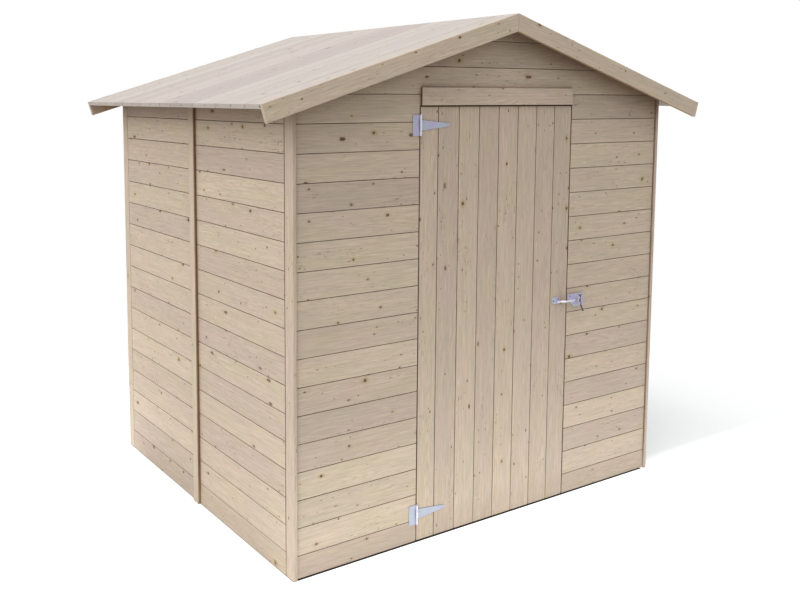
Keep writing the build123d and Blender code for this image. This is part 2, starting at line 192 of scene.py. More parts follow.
class Nodes:
    """Short hand for wiring the nodes of a material or of the world."""

    def __init__(self, owner):
        owner.use_nodes = True
        self.tree = owner.node_tree
        self.shader = self.tree.nodes.get("Principled BSDF")

    def add(self, kind, inputs=None, **settings):
        node = self.tree.nodes.new(kind)
        for key, value in settings.items():
            setattr(node, key, value)
        for key, value in (inputs or {}).items():
            self.set(node.inputs[key], value)
        return node

    def set(self, socket, value):
        if isinstance(value, bpy.types.NodeSocket):
            self.tree.links.new(value, socket)
        else:
            socket.default_value = value

    def math(self, operation, *values):
        return self.add("ShaderNodeMath", dict(enumerate(values)), operation=operation).outputs[0]

    def vector(self, operation, *values):
        node = self.add("ShaderNodeVectorMath", dict(enumerate(values)), operation=operation)
        return node.outputs["Value" if operation == "LENGTH" else "Vector"]

    def parts(self, vector):
        return self.add("ShaderNodeSeparateXYZ", {0: vector}).outputs

    def attribute(self, name):
        return self.add("ShaderNodeAttribute", attribute_name=name, attribute_type="GEOMETRY").outputs

    def here(self):
        """Where the point lies in the piece's own metres."""
        return self.add("ShaderNodeTexCoord").outputs["Object"]

    def grey(self, level):
        return self.add("ShaderNodeCombineColor", {0: level, 1: level, 2: level}).outputs[0]

    def noise(self, vector, scale, detail=2.0, roughness=0.5):
        node = self.add(
            "ShaderNodeTexNoise",
            {
                "Vector": self.vector("MULTIPLY", vector, scale),
                "Scale": 1.0,
                "Detail": detail,
                "Roughness": roughness,
            },
        )
        return node.outputs["Fac"]

    def steps(self, value, low, high, to_low=0.0, to_high=1.0, smooth=True):
        """Takes a value from one range to another and holds it at the ends."""
        node = self.add(
            "ShaderNodeMapRange",
            {"Value": value, "From Min": low, "From Max": high, "To Min": to_low, "To Max": to_high},
            interpolation_type="SMOOTHSTEP" if smooth else "LINEAR",
        )
        return node.outputs["Result"]

    def ramp(self, value, stops):
        node = self.add("ShaderNodeValToRGB", {"Fac": value})
        elements = node.color_ramp.elements
        while len(elements) < len(stops):
            elements.new(0.5)
        for element, (position, colour) in zip(elements, stops):
            element.position = position
            element.color = (*colour, 1)
        return node.outputs["Color"]

    def mix(self, factor, first, second, blend="MIX"):
        node = self.add("ShaderNodeMix", data_type="RGBA", blend_type=blend)
        colours = [s for s in node.inputs if s.type == "RGBA"]
        self.set(node.inputs["Factor"], factor)
        self.set(colours[0], first)
        self.set(colours[1], second)
        return next(s for s in node.outputs if s.type == "RGBA")


def linear(*levels):
    """Red, green and blue as a painter names them, 0 to 255, in the values that light works in."""
    shares = [level / 255 for level in levels]
    return tuple(v / 12.92 if v <= 0.04045 else ((v + 0.055) / 1.055) ** 2.4 for v in shares)


RING_WIDTHS = (0.0014, 0.0026)   # narrowest and widest growth rings
EDGE_WAVER = 0.0009              # how far a knot's edge wavers
FLECK_TONE = (0.60, 0.54, 0.46)
RESIN_TONE = (0.82, 0.74, 0.62)
YELLOW_TONE = (0.84, 0.76, 0.50)
SPECK_TONE = (0.80, 0.73, 0.62)
# painted shade deep in joints, in crevices and on shaded faces
JOINT_SHADE_TONE = (0.60, 0.47, 0.36)
# painted shade where other timber shuts a surface in
CORNER_SHADE_TONE = (0.45, 0.36, 0.30)
CORNER_SHADE_REACH = 0.12              # other timber nearer than this gives a surface painted shade
PORE_DEPTH = 0.0005


def spruce(name, tints, late_wood, rings, contrast, roughness):
    """Spruce cut from a round log: growth rings, fibres, and knots that the rings bend round."""
    wood = bpy.data.materials.new(name)
    n = Nodes(wood)
    grain = n.attribute("grain")["Vector"]
    tint = n.attribute("tint")["Fac"]
    ragged = n.steps(n.noise(grain, (190, 300, 0), 1.0), 0, 1, -EDGE_WAVER, EDGE_WAVER, smooth=False)

    def knots(cell_along, cell_across, kept, small, large, seed):
        """One knot in each cell of a loose net, some left out, each with its own size and stretch."""
        moved = n.vector("ADD", grain, (seed, seed * 0.37, 0))
        net = n.vector("MULTIPLY", moved, (1 / cell_along, 1 / cell_across, 0))
        cells = n.add("ShaderNodeTexVoronoi", {"Vector": net, "Scale": 1}, voronoi_dimensions="2D").outputs
        luck = n.add("ShaderNodeSeparateColor", {0: cells["Color"]}).outputs
        offset = n.vector("SUBTRACT", net, cells["Position"])
        offset = n.parts(n.vector("MULTIPLY", offset, (cell_along, cell_across, 0)))
        radius = n.steps(n.math("POWER", luck[0], 2.0), 0, 1, small, large, smooth=False)
        present = n.math("LESS_THAN", luck[1], kept)
        across = n.math("POWER", offset[1], 2.0)
        ahead = n.math("GREATER_THAN", offset[0], 0.0)
        tail = n.math("MULTIPLY_ADD", ahead, n.steps(luck[2], 0.5, 0.8, 0.0, 1.2), 1.0)

        def away(stretch):
            """Distance from the knot's heart, in its radii, for a knot stretched along the grain."""
            along = n.math("DIVIDE", offset[0], n.math("MULTIPLY", tail, stretch))
            distance = n.math("SQRT", n.math("ADD", n.math("POWER", along, 2.0), across))
            return n.math("DIVIDE", n.math("ADD", distance, ragged), radius)

        near = away(n.steps(luck[2], 0, 1, 1.0, 1.5, smooth=False))
        wide = away(1.7)
        return {
            "core": n.math("MULTIPLY", n.steps(near, 1.2, 0.75), present),
            "halo": n.math("MULTIPLY", n.steps(wide, 2.6, 0.8), present),
            "bend": n.math("MULTIPLY", n.math("MULTIPLY", n.steps(wide, 4.2, 0.7), present), radius),
            "share": near,
            "luck": luck[2],
            "fate": n.math("FRACT", n.math("MULTIPLY", luck[2], 7.3)),
        }

    gathered = n.steps(n.noise(grain, (5.0, 9.0, 0), 1.0), 0.46, 0.64, 0.02, 0.40)
    knot = knots(cell_along=0.150, cell_across=0.105, kept=0.50, small=0.0024, large=0.0072, seed=3.1)
    speck = knots(cell_along=0.046, cell_across=0.036, kept=gathered, small=0.0014, large=0.0030, seed=11.7)

    # growth rings round the pith, wandering a little and swelling round each knot
    off_pith = n.parts(grain)
    from_pith = n.math("ADD", n.math("POWER", off_pith[1], 2.0), n.math("POWER", off_pith[2], 2.0))
    wander = n.steps(n.noise(grain, (1.3, 9.0, 9.0), 2.0), 0, 1, -0.009, 0.009, smooth=False)
    ripple = n.steps(n.noise(grain, (11.0, 50.0, 50.0), 3.0), 0, 1, -0.0016, 0.0016, smooth=False)
    reach = n.math("ADD", n.math("ADD", n.math("SQRT", from_pith), wander), ripple)
    reach = n.math("MULTIPLY_ADD", knot["bend"], 1.4, reach)
    reach = n.math("MULTIPLY_ADD", speck["bend"], 1.0, reach)
    narrow, broad = RING_WIDTHS
    per_metre = n.steps(tint, 0, 1, 1 / narrow, 1 / broad, smooth=False)
    late = n.add("ShaderNodeFloatCurve", {"Value": n.math("FRACT", n.math("MULTIPLY", reach, per_metre))})
    curve = late.mapping.curves[0]
    for share, darkness in ((0.45, 0.10), (0.82, 0.90), (0.92, 0.80)):
        curve.points.new(share, darkness)
    curve.points[0].location = (0, 0.05)
    curve.points[-1].location = (1, 0.05)
    late.mapping.update()
    late = late.outputs[0]

    # fibres and streaks along the stick, short dark flecks, and slow drifts of colour
    fibre = n.noise(grain, (14.0, 430.0, 430.0), 3.0, 0.65)
    streak = n.noise(grain, (5.0, 150.0, 150.0), 3.0, 0.65)
    cloud = n.noise(grain, (3.0, 20.0, 20.0), 2.0)
    warmth = n.noise(grain, (1.5, 38.0, 38.0), 3.0)
    drift = n.noise(grain, (6.0, 12.0, 12.0), 1.0)
    fleck = n.steps(n.noise(grain, (32.0, 230.0, 230.0), 2.0, 0.6), 0.60, 0.68)
    fleck = n.math("MULTIPLY", fleck, n.steps(n.noise(grain, (5.0, 12.0, 12.0), 1.0), 0.55, 0.70))

    colour = n.ramp(tint, tints)
    own_level = n.math("FRACT", n.math("MULTIPLY", tint, 13.7))
    level = n.steps(own_level, 0, 1, 0.962, 1.038, smooth=False)
    for noise, share in ((streak, 0.10), (fibre, 0.13), (cloud, 0.04)):
        swing = share * contrast
        level = n.math("MULTIPLY", level, n.steps(noise, 0.25, 0.75, 1 - swing, 1 + swing, smooth=False))
    colour = n.mix(1.0, colour, n.grey(level), "MULTIPLY")
    for noise, hues in (
        (warmth, [(0.3, (1.01, 0.985, 1.01)), (0.5, (1, 1, 1)), (0.72, (0.985, 0.995, 0.92))]),
        (drift, [(0.34, (1.01, 0.975, 1.0)), (0.5, (1, 1, 1)), (0.66, (0.98, 1.0, 0.93))]),
    ):
        colour = n.mix(contrast * 0.5, colour, n.mix(1.0, colour, n.ramp(noise, hues), "MULTIPLY"))

    def stain_and_shade(amount, share, tone):
        """The colour so far, multiplied by a tone where the amount says so: real stains, and painted shade.
        """
        shaded = n.mix(1.0, colour, (*tone, 1), "MULTIPLY")
        return n.mix(n.math("MULTIPLY", amount, share), colour, shaded)

    colour = stain_and_shade(n.steps(cloud, 0.3, 0.75, rings * 0.4, rings * 1.5), late, late_wood)
    colour = stain_and_shade(fleck, 0.85 * contrast, FLECK_TONE)
    resinous = n.steps(knot["luck"], 0.30, 0.36)
    colour = stain_and_shade(n.math("MULTIPLY", knot["halo"], resinous), 0.45, RESIN_TONE)
    colour = stain_and_shade(n.math("MULTIPLY", knot["halo"], n.math("SUBTRACT", 1.0, resinous)), 0.75, YELLOW_TONE)
    colour = stain_and_shade(speck["halo"], 0.35, SPECK_TONE)

    # hearts of the knots, some of them reddish, and darker at their rims
    red = n.steps(knot["luck"], 0.84, 0.88)
    heart = n.mix(red, (*linear(92, 76, 54), 1), (*linear(138, 92, 64), 1))
    rim = n.math("MULTIPLY", n.steps(knot["share"], 0.4, 0.95), 0.6)
    heart = n.mix(rim, heart, (*linear(60, 47, 33), 1))
    shown = n.math("MULTIPLY", knot["core"], n.steps(knot["fate"], 0, 1, 0.95, 0.65, smooth=False))
    colour = n.mix(shown, colour, heart)
    shown = n.math("MULTIPLY", speck["core"], n.steps(speck["fate"], 0, 1, 0.90, 0.40, smooth=False))
    colour = n.mix(shown, colour, (*linear(84, 68, 50), 1))

    # painted shade: darker where the joint mark is set, and where other timber is near, less so by the
    # ground
    colour = stain_and_shade(n.steps(n.attribute("joint")["Fac"], 0.0, 0.6), 1.0, JOINT_SHADE_TONE)
    openness = n.add("ShaderNodeAmbientOcclusion", {"Distance": CORNER_SHADE_REACH}, samples=8).outputs["AO"]
    painted_corner_shade = n.steps(openness, 0.35, 0.97, 1.0, 0.0, smooth=False)
    off_ground = n.steps(n.parts(n.here())["Z"], 0.03, 0.13, 0.2, 1.0, smooth=False)
    colour = stain_and_shade(n.math("MULTIPLY", painted_corner_shade, off_ground), 1.0, CORNER_SHADE_TONE)
    n.set(n.shader.inputs["Base Color"], colour)

    dulled = n.steps(late, 0, 1, roughness + 0.04, roughness - 0.06, smooth=False)
    n.set(n.shader.inputs["Roughness"], dulled)
    n.shader.inputs["Specular IOR Level"].default_value = 0.3
    height = n.math("MULTIPLY_ADD", fibre, 0.35, n.math("MULTIPLY", late, 0.5))
    height = n.math("SUBTRACT", height, n.math("MULTIPLY", knot["core"], 0.5))
    bump = n.add("ShaderNodeBump", {"Height": height, "Strength": 0.35, "Distance": PORE_DEPTH})
    n.set(n.shader.inputs["Normal"], bump.outputs[0])
    return wood


framing_spruce = spruce(
    "framing_spruce",
    [
        (0.0, linear(202, 178, 146)),
        (0.35, linear(208, 186, 158)),
        (0.65, linear(203, 178, 152)),
        (1.0, linear(196, 176, 152)),
    ],
    late_wood=(0.74, 0.58, 0.42),
    rings=0.5,
    contrast=1.0,
    roughness=0.72,
)

frame_dice = random.Random(11)
for node in FRAME_NODES:
    timber = joined(node)
    ease_edges(timber, SAWN_ARRIS)
    grain_of_sticks(timber, frame_dice)
    finish_piece(timber, node.replace("_", "-"), framing_spruce, "shed", [node])

for node in ("front_gable_rails", "back_gable_rails"):
    timber = joined(node)
    ease_edges(timber, SAWN_ARRIS)
    for verts in sticks_in(timber):
        middle = sum((v.co for v in verts), Vector()) / len(verts)
        down = down_roof(1 if middle.x > 0 else -1)
        lay_grain(timber, verts, middle, down, Y.cross(down), Y, STICK_WIDTH, frame_dice)
    finish_piece(timber, node.replace("_", "-"), framing_spruce, "shed", [node])


# Wall cladding: planed tongue-and-groove spruce boards with a 100 mm cover, laid level from corner to
# corner and nailed to the frame. Each upper edge has the tongue, and a narrow joint shows between faces.
COVER = 0.1
FIRST_JOINT = 0.087              # height of the first joint above the ground
WALL_COURSES = 20
OVER_DOOR = 17                   # the first course that runs on over the doorway
BOARD = 0.014
SEAM = 0.0019                    # open joint between two faces
TONGUE = (0.0075, 0.0108)        # depths of the tongue's two sides behind the face
TONGUE_REACH = 0.0038
GROOVE_REACH = 0.0066
TONGUE_PLAY = 0.0003             # the groove is this much wider than the tongue on each side
BACK_JOINT = 0.0002              # half the joint between two boards' backs
PLANING = 0.0004                 # one face may lie this far behind its neighbour's
BOARD_ARRIS = 0.0013
BUTT = 0.0035                    # air at a board's end, where it meets a trim
WASTE = 0.01                     # sawn off each end of a board
HAIR = 0.0001
SAW_TOLERANCE = 0.000001

planed_spruce = spruce(
    "planed_spruce",
    [
        (0.0, linear(216, 200, 179)),
        (0.3, linear(214, 198, 178)),
        (0.5, linear(212, 195, 176)),
        (0.75, linear(208, 191, 174)),
        (1.0, linear(203, 186, 171)),
    ],
    late_wood=(0.80, 0.66, 0.50),
    rings=0.26,
    contrast=1.15,
    roughness=0.62,
)


def saw(shape, point, normal, drop):
    """Cuts along a plane, drops what lies beyond it if asked, and gives the edges of the cut."""
    cut = bmesh.ops.bisect_plane(
        shape,
        geom=shape.verts[:] + shape.edges[:] + shape.faces[:],
        dist=SAW_TOLERANCE,
        plane_co=point,
        plane_no=normal,
        clear_outer=drop,
    )
    return [g for g in cut["geom_cut"] if isinstance(g, bmesh.types.BMEdge)]


def board(start, along, across, inward, length, cuts, dice, zero, thickness, seam):
    """One tongue-and-groove board, cut to the planes given, with its grain laid from the point zero."""
    shape = timber_shape()
    setback = dice.uniform(0, PLANING)
    half = seam / 2
    near, far = TONGUE
    section = [
        (half, setback),
        (COVER - half, setback),
        (COVER - half, near),
        (COVER + TONGUE_REACH, near),
        (COVER + TONGUE_REACH, far),
        (COVER - BACK_JOINT, far),
        (COVER - BACK_JOINT, thickness),
        (BACK_JOINT, thickness),
        (BACK_JOINT, far + TONGUE_PLAY),
        (GROOVE_REACH, far + TONGUE_PLAY),
        (GROOVE_REACH, near - TONGUE_PLAY),
        (half, near - TONGUE_PLAY),
    ]
    corners = [shape.verts.new(start + across * a + inward * d) for a, d in section]
    # painted shade on the tongue and groove, deep in the joint between two faces
    joint = shape.verts.layers.float["joint"]
    for corner, (_, depth) in zip(corners, section):
        corner[joint] = 1.0 if near - TONGUE_PLAY - HAIR < depth < far + TONGUE_PLAY + HAIR else 0.0
    end = shape.faces.new(corners)
    sweep = bmesh.ops.extrude_face_region(shape, geom=[end])
    moved = [g for g in sweep["geom"] if isinstance(g, bmesh.types.BMVert)]
    bmesh.ops.translate(shape, verts=moved, vec=along * length)
    bmesh.ops.recalc_face_normals(shape, faces=shape.faces)
    face_edges = []
    for edge in shape.edges:
        depths = [(v.co - start).dot(inward) for v in edge.verts]
        runs = [(v.co - start).dot(along) for v in edge.verts]
        if max(depths) < setback + HAIR and abs(runs[0] - runs[1]) > length / 2:
            face_edges.append(edge)
    round_over(shape, face_edges, BOARD_ARRIS)
    for point, normal in cuts:
        rim = saw(shape, point, normal, drop=True)
        if not shape.verts:
            return None
        if rim:
            bmesh.ops.edgenet_fill(shape, edges=rim)
    bmesh.ops.recalc_face_normals(shape, faces=shape.faces)
    lay_grain(shape, shape.verts, zero, along, across, inward, COVER, dice)
    return shape


def clad(start, along, across, inward, length, count, cuts, log, thickness=BOARD, seam=SEAM):
    """A run of boards side by side. log(i) names the log that board i was sawn from."""
    run = timber_shape()
    for i in range(count):
        corner = start + across * COVER * i
        zero = corner - along * corner.dot(along)
        dice = random.Random(log(i))
        one = board(corner, along, across, inward, length, cuts, dice, zero, thickness, seam)
        if one is None:
            continue
        carrier = bpy.data.meshes.new("board")
        one.to_mesh(carrier)
        one.free()
        run.from_mesh(carrier)
        bpy.data.meshes.remove(carrier)
    return run


roof_underside = Vector((0, 0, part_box("back_wall")[1].z))
under_roof = [(roof_underside, out_of_roof(-1)), (roof_underside, out_of_roof(1))]

for node in ("front_wall_left", "front_wall_right", "front_wall_over_door", "back_wall"):
    low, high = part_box(node)
    front = node.startswith("front")
    left_air = BUTT if node in ("front_wall_left", "back_wall") else 0.0
    right_air = BUTT if node in ("front_wall_right", "back_wall") else 0.0
    ends = [
        (Vector((low.x + left_air, 0, 0)), -X),
        (Vector((high.x - right_air, 0, 0)), X),
        (Vector((0, 0, low.z)), -Z),
    ]
    start = Vector((low.x - WASTE, low.y if front else high.y, FIRST_JOINT - COVER))
    shared = "front" if front else "back"
    walls = clad(
        start, X, Z, Y if front else -Y, high.x - low.x + 2 * WASTE, WALL_COURSES, ends + under_roof,
        lambda i: f"{shared} {i}" if i >= OVER_DOOR else f"{node} {i}",
    )
    finish_piece(walls, node.replace("_", "-"), planed_spruce, "shed", [node])

for node in (
    "left_wall_front_panel", "left_wall_rear_panel", "right_wall_front_panel", "right_wall_rear_panel",
):
    low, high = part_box(node)
    left = node.startswith("left")
    ends = [
        (Vector((0, low.y + BUTT, 0)), -Y),
        (Vector((0, high.y - BUTT, 0)), Y),
        (Vector((0, 0, low.z)), -Z),
    ]
    start = Vector((low.x if left else high.x, low.y - WASTE, FIRST_JOINT - COVER))
    walls = clad(
        start, Y, Z, X if left else -X, high.y - low.y + 2 * WASTE, WALL_COURSES, ends + under_roof,
        lambda i: f"{node} {i}",
    )
    finish_piece(walls, node.replace("_", "-"), planed_spruce, "shed", [node])


# Corner trims and joint battens: planed spruce laths nailed upright over the board ends at the corners and
# over the joint between the two panels of each side wall, with lightly rounded arrises.
TRIM_ARRIS = 0.0015
BATTEN_CREVICE = 0.002           # the foot of a batten's side, given painted shade where it meets the wall

trim_dice = random.Random(37)
for node in (
    "front_left_corner_trim", "front_right_corner_trim", "rear_left_corner_trim", "rear_right_corner_trim",
    "left_joint_batten", "right_joint_batten",
):
    lath = joined(node)
    ease_edges(lath, TRIM_ARRIS)
    grain_of_sticks(lath, trim_dice)
    # painted shade on the foot of each batten's sides, by the wall
    if node.endswith("batten"):
        wall_face = min(abs(corner.x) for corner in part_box(node))
        joint = lath.verts.layers.float["joint"]
        for vert in lath.verts:
            vert[joint] = 1.0 if abs(vert.co.x) < wall_face + BATTEN_CREVICE else 0.0
    finish_piece(lath, node.replace("_", "-"), planed_spruce, "shed", [node])


# Doorway trim: a planed header board over the door outside, and inside it the stops and the low sill that
# the leaf shuts towards, all nailed to the door posts and the head rail.
FACING = 0.98                    # how near a face has to point to the way asked for, where 1 is straight


def paint_shade_on_faces(shape, way):
    """Paints shade, in the dark colour of the joint mark, on the faces that point one way."""
    joint = shape.verts.layers.float["joint"]
    shape.normal_update()
    for face in shape.faces:
        if face.normal.dot(way) > FACING:
            for vert in face.verts:
                vert[joint] = 1.0


header = joined("header_board")
ease_edges(header, TRIM_ARRIS)
grain_of_sticks(header, trim_dice)
# painted shade on the header's end faces
paint_shade_on_faces(header, -X)
paint_shade_on_faces(header, X)
finish_piece(header, "header-board", planed_spruce, "shed", ["header_board"])

for node in ("door_stops", "door_sill"):
    lath = joined(node)
    ease_edges(lath, SAWN_ARRIS)
    grain_of_sticks(lath, trim_dice)
    finish_piece(lath, node.replace("_", "-"), framing_spruce, "shed", [node])


# Roof boards: thicker tongue-and-groove spruce laid from ridge to eave on both slopes, side by side along
# the shed, and nailed to the plates, purlins and ridge beam. They are cut plumb where they meet at the
# ridge, and square at the eave.
ROOF_BOARD = 0.016
ROOF_COURSES = 17
ROOF_WASTE = 0.02                # sawn off each end of a roof board
RIDGE_JOINT = 0.0002             # half the joint at the ridge
EAVE_END = 0.0005                # the sawn end at the eave, kept clear of the painted joint shade

roof_spruce = spruce(
    "roof_spruce",
    [
        (0.0, linear(206, 200, 192)),
        (0.3, linear(205, 197, 190)),
        (0.5, linear(204, 194, 188)),
        (0.75, linear(202, 191, 186)),
        (1.0, linear(196, 185, 180)),
    ],
    late_wood=(0.84, 0.73, 0.62),
    rings=0.4,
    contrast=0.55,
    roughness=0.62,
)

for node in ("left_roof_boards", "right_roof_boards"):
    low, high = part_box(node)
    side = -1 if node.startswith("left") else 1
    down = down_roof(side)
    ridge = Vector((0, low.y, high.z))
    reach = max(abs(low.x), abs(high.x)) / cos(ROOF_PITCH)
    ends = [
        (Vector((side * RIDGE_JOINT, 0, 0)), -X * side),
        (ridge + down * reach, down),
        (Vector((0, high.y, 0)), Y),
        (Vector((0, low.y, 0)), -Y),
    ]
    boards = clad(
        ridge - down * ROOF_WASTE, down, Y, -out_of_roof(side), reach + 2 * ROOF_WASTE, ROOF_COURSES, ends,
        lambda i: f"{node} {i}", ROOF_BOARD,
    )
    eave = ridge + down * (reach - EAVE_END)
    saw(boards, eave, down, drop=False)
    # the sawn ends at the eave are kept clear of the painted joint shade
    joint = boards.verts.layers.float["joint"]
    for vert in boards.verts:
        if (vert.co - eave).dot(down) > EAVE_END / 2:
            vert[joint] = 0.0
    finish_piece(boards, node.replace("_", "-"), roof_spruce, "shed", [node])


# Barge boards: planed spruce boards on edge that cover the roof boards' long edges on both gables and meet
# in a plumb joint at the ridge. Their undersides get painted shade, standing for the roof's shade.
for node in ("front_left_barge", "front_right_barge", "rear_left_barge", "rear_right_barge"):
    lath = joined(node)
    ease_edges(lath, TRIM_ARRIS)
    side = -1 if "left" in node else 1
    down = down_roof(side)
    lay_grain(lath, lath.verts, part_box(node)[0], down, Y.cross(down), Y, STICK_WIDTH, trim_dice)
    # painted shade on the barge's underside
    paint_shade_on_faces(lath, -out_of_roof(side))
    finish_piece(lath, node.replace("_", "-"), planed_spruce, "shed", [node])


# Door leaf: upright tongue-and-groove boards, the outer two ripped to width, clenched to three ledges and
# two braces on the back.
DOOR_COURSES = 9
DOOR_SEAM = 0.0026
LEAF_FIRST_EDGE = -0.405         # where the first board's edge lay before it was ripped

door_dice = random.Random(67)
low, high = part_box("door_boards")
ends = [
    (Vector((low.x, 0, 0)), -X),
    (Vector((high.x, 0, 0)), X),
    (Vector((0, 0, low.z)), -Z),
    (Vector((0, 0, high.z)), Z),
]
start = Vector((LEAF_FIRST_EDGE, low.y, low.z - WASTE))
leaf = clad(
    start, Z, X, Y, high.z - low.z + 2 * WASTE, DOOR_COURSES, ends, lambda i: f"leaf {i}", BOARD, DOOR_SEAM,
)
finish_piece(leaf, "door-boards", planed_spruce, "door", ["door_boards"])

ledges = joined("door_ledges")
ease_edges(ledges, TRIM_ARRIS)
grain_of_sticks(ledges, door_dice)
finish_piece(ledges, "door-ledges", framing_spruce, "door", ["door_ledges"])

braces = joined("door_braces")
ease_edges(braces, TRIM_ARRIS)
for verts in sticks_in(braces):
    first = min(verts, key=lambda v: v.co.x + v.co.z).co.copy()
    last = max(verts, key=lambda v: v.co.x + v.co.z).co.copy()
    up = last - first
    up.y = 0
    up.normalize()
    lay_grain(braces, verts, first, up, up.cross(Y), Y, STICK_WIDTH, door_dice)
finish_piece(braces, "door-braces", framing_spruce, "door", ["door_braces"])


# T-hinges: pressed sheet steel with a zinc coat, a plate on the wall and a tapering strap on the leaf, both
# rolled round one pin and each held by three countersunk screws.
SHEET = 0.002
HINGE_ARRIS = 0.0004
KNUCKLE_RISE = 0.0040            # steel this far out from the sheet's face starts to be rubbed bright, with a painted highlight
RUBBED_OVER = 0.0026             # and is fully bright this much further out
SCREW_HEAD = 0.0038
SCREW_CROWN = 0.86               # the flat top's share of the head's radius
SCREW_DOME = 0.0007              # the top stands this far out of the sheet
RIM_FALL = 0.8                   # from the top to the rim, in units of SCREW_DOME
FOOT_FALL = 1.2                  # from the rim down into the sheet
RECESS_FALL = 1.5                # from the top to the floor of the crossed recess
RECESS_ARM = 0.0021              # from the middle to the end of an arm
RECESS_HALF = 0.00055            # half an arm's width
PLATE_SCREWS = ((0.011, -0.026), (0.011, 0.026), (0.019, 0.0))     # from the plate's edge and its middle
STRAP_SCREWS = ((0.020, 0.008), (0.062, 0.0))                      # from the strap's root and its middle
TIP_SCREW = 0.013                # from the strap's tip

sheet_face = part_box("door_boards")[0].y - SHEET      # outer face of the steel on the wall and the leaf


def zinc(name):
    """Zinc-coated steel: a pale mottled coat, rubbed bright with a painted highlight, and dark brown-grey
    where marked.
    """
    steel = bpy.data.materials.new(name)
    n = Nodes(steel)
    place = n.here()
    highlight_and_dark = n.attribute("highlight_and_dark")["Fac"]
    rubbed_and_highlit = n.steps(highlight_and_dark, 0.0, 0.9)
    darkened = n.steps(highlight_and_dark, 0.0, -1.0)
    mottle = n.noise(place, (190, 190, 190), 3.0, 0.6)
    patch = n.noise(place, (26, 26, 26), 1.0)
    colour = n.ramp(patch, [
        (0.35, linear(190, 186, 216)),
        (0.5, linear(187, 189, 212)),
        (0.66, linear(184, 196, 206)),
    ])
    shade = n.steps(mottle, 0.25, 0.75, 0.95, 1.05, smooth=False)
    colour = n.mix(1.0, colour, n.grey(shade), "MULTIPLY")
    # painted highlight, partly real rubbing: lighter, more metallic and smoother where rubbed
    colour = n.mix(rubbed_and_highlit, colour, (*linear(212, 212, 222), 1))
    # dark brown-grey where the mark is below zero, on the latch screws and the pawl
    colour = n.mix(darkened, colour, (*linear(84, 70, 62), 1))
    n.set(n.shader.inputs["Base Color"], colour)
    n.set(n.shader.inputs["Metallic"], n.math("MULTIPLY_ADD", rubbed_and_highlit, 0.7, 0.2))
    rough = n.steps(mottle, 0.25, 0.75, 0.36, 0.48)
    n.set(n.shader.inputs["Roughness"], n.math("SUBTRACT", rough, n.math("MULTIPLY", rubbed_and_highlit, 0.18)))
    bump = n.add("ShaderNodeBump", {"Height": mottle, "Strength": 0.15, "Distance": 0.0002})
    n.set(n.shader.inputs["Normal"], bump.outputs[0])
    return steel


zinc_steel = zinc("zinc_steel")


def screw_heads(shape, spots, out, radius=SCREW_HEAD, darkened=0.0):
    """Countersunk heads with a crossed recess, their faces turned to the direction given."""
    turn = out.to_track_quat("Z", "Y").to_matrix().to_4x4()
    highlight_and_dark = shape.verts.layers.float.get("highlight_and_dark") or shape.verts.layers.float.new("highlight_and_dark")
    for spot in spots:
        crown = radius * SCREW_CROWN
        ring = bmesh.ops.create_circle(shape, segments=20, radius=crown, cap_ends=False)["verts"]
        bmesh.ops.translate(shape, verts=ring, vec=(0, 0, SCREW_DOME))
        rim = list({edge for vert in ring for edge in vert.link_edges})
        skirt = bmesh.ops.extrude_edge_only(shape, edges=rim)["geom"]
        lower = [g for g in skirt if isinstance(g, bmesh.types.BMVert)]
        bmesh.ops.scale(shape, verts=lower, vec=(1 / SCREW_CROWN, 1 / SCREW_CROWN, 1))
        bmesh.ops.translate(shape, verts=lower, vec=(0, 0, -SCREW_DOME * RIM_FALL))
        lower_edges = [g for g in skirt if isinstance(g, bmesh.types.BMEdge)]
        foot = bmesh.ops.extrude_edge_only(shape, edges=lower_edges)["geom"]
        sunk = [g for g in foot if isinstance(g, bmesh.types.BMVert)]
        bmesh.ops.translate(shape, verts=sunk, vec=(0, 0, -SCREW_DOME * FOOT_FALL))
        bmesh.ops.contextual_create(shape, geom=[g for g in foot if isinstance(g, bmesh.types.BMEdge)])
        cross = []
        for quarter in range(4):
            spin = Matrix.Rotation(quarter * pi / 2, 4, "Z")
            for x, y in ((RECESS_ARM, -RECESS_HALF), (RECESS_ARM, RECESS_HALF), (RECESS_HALF, RECESS_HALF)):
                cross.append(shape.verts.new(spin @ Vector((x, y, SCREW_DOME))))
        recess = [shape.edges.new((cross[i - 1], cross[i])) for i in range(len(cross))]
        bmesh.ops.triangle_fill(shape, use_beauty=True, edges=rim + recess)
        well = bmesh.ops.extrude_edge_only(shape, edges=recess)["geom"]
        floor_verts = [g for g in well if isinstance(g, bmesh.types.BMVert)]
        bmesh.ops.translate(shape, verts=floor_verts, vec=(0, 0, -SCREW_DOME * RECESS_FALL))
        bmesh.ops.contextual_create(shape, geom=[g for g in well if isinstance(g, bmesh.types.BMEdge)])
        whole = next(head for head in sticks_in(shape) if ring[0] in head)
        bmesh.ops.transform(shape, matrix=Matrix.Translation(spot) @ turn, verts=whole)
        for vert in whole:
            vert[highlight_and_dark] = darkened
    bmesh.ops.recalc_face_normals(shape, faces=shape.faces)


def fitting(node, body, marks_at):
    """A steel fitting with its sheet edges eased, its round parts shaded smooth and its bright and dark
    marks set.
    """
    steel = joined(node)
    highlight_and_dark = steel.verts.layers.float.new("highlight_and_dark")
    ease_edges(steel, HINGE_ARRIS, sharp=radians(40))
    for vert in steel.verts:
        vert[highlight_and_dark] = marks_at(vert.co)
    piece = finish_piece(steel, node.replace("_", "-"), zinc_steel, body, [node])
    for face in piece.data.polygons:
        face.use_smooth = True
    piece.data.set_sharp_from_angle(angle=radians(35))


def rubbed_and_highlit_off_sheet(place):
    """Rubbed bright, with a painted highlight, where the steel stands clear of the flat sheet: knuckles,
    pins and the bar.
    """
    return min(max((sheet_face - place.y - KNUCKLE_RISE) / RUBBED_OVER, 0.0), 1.0)


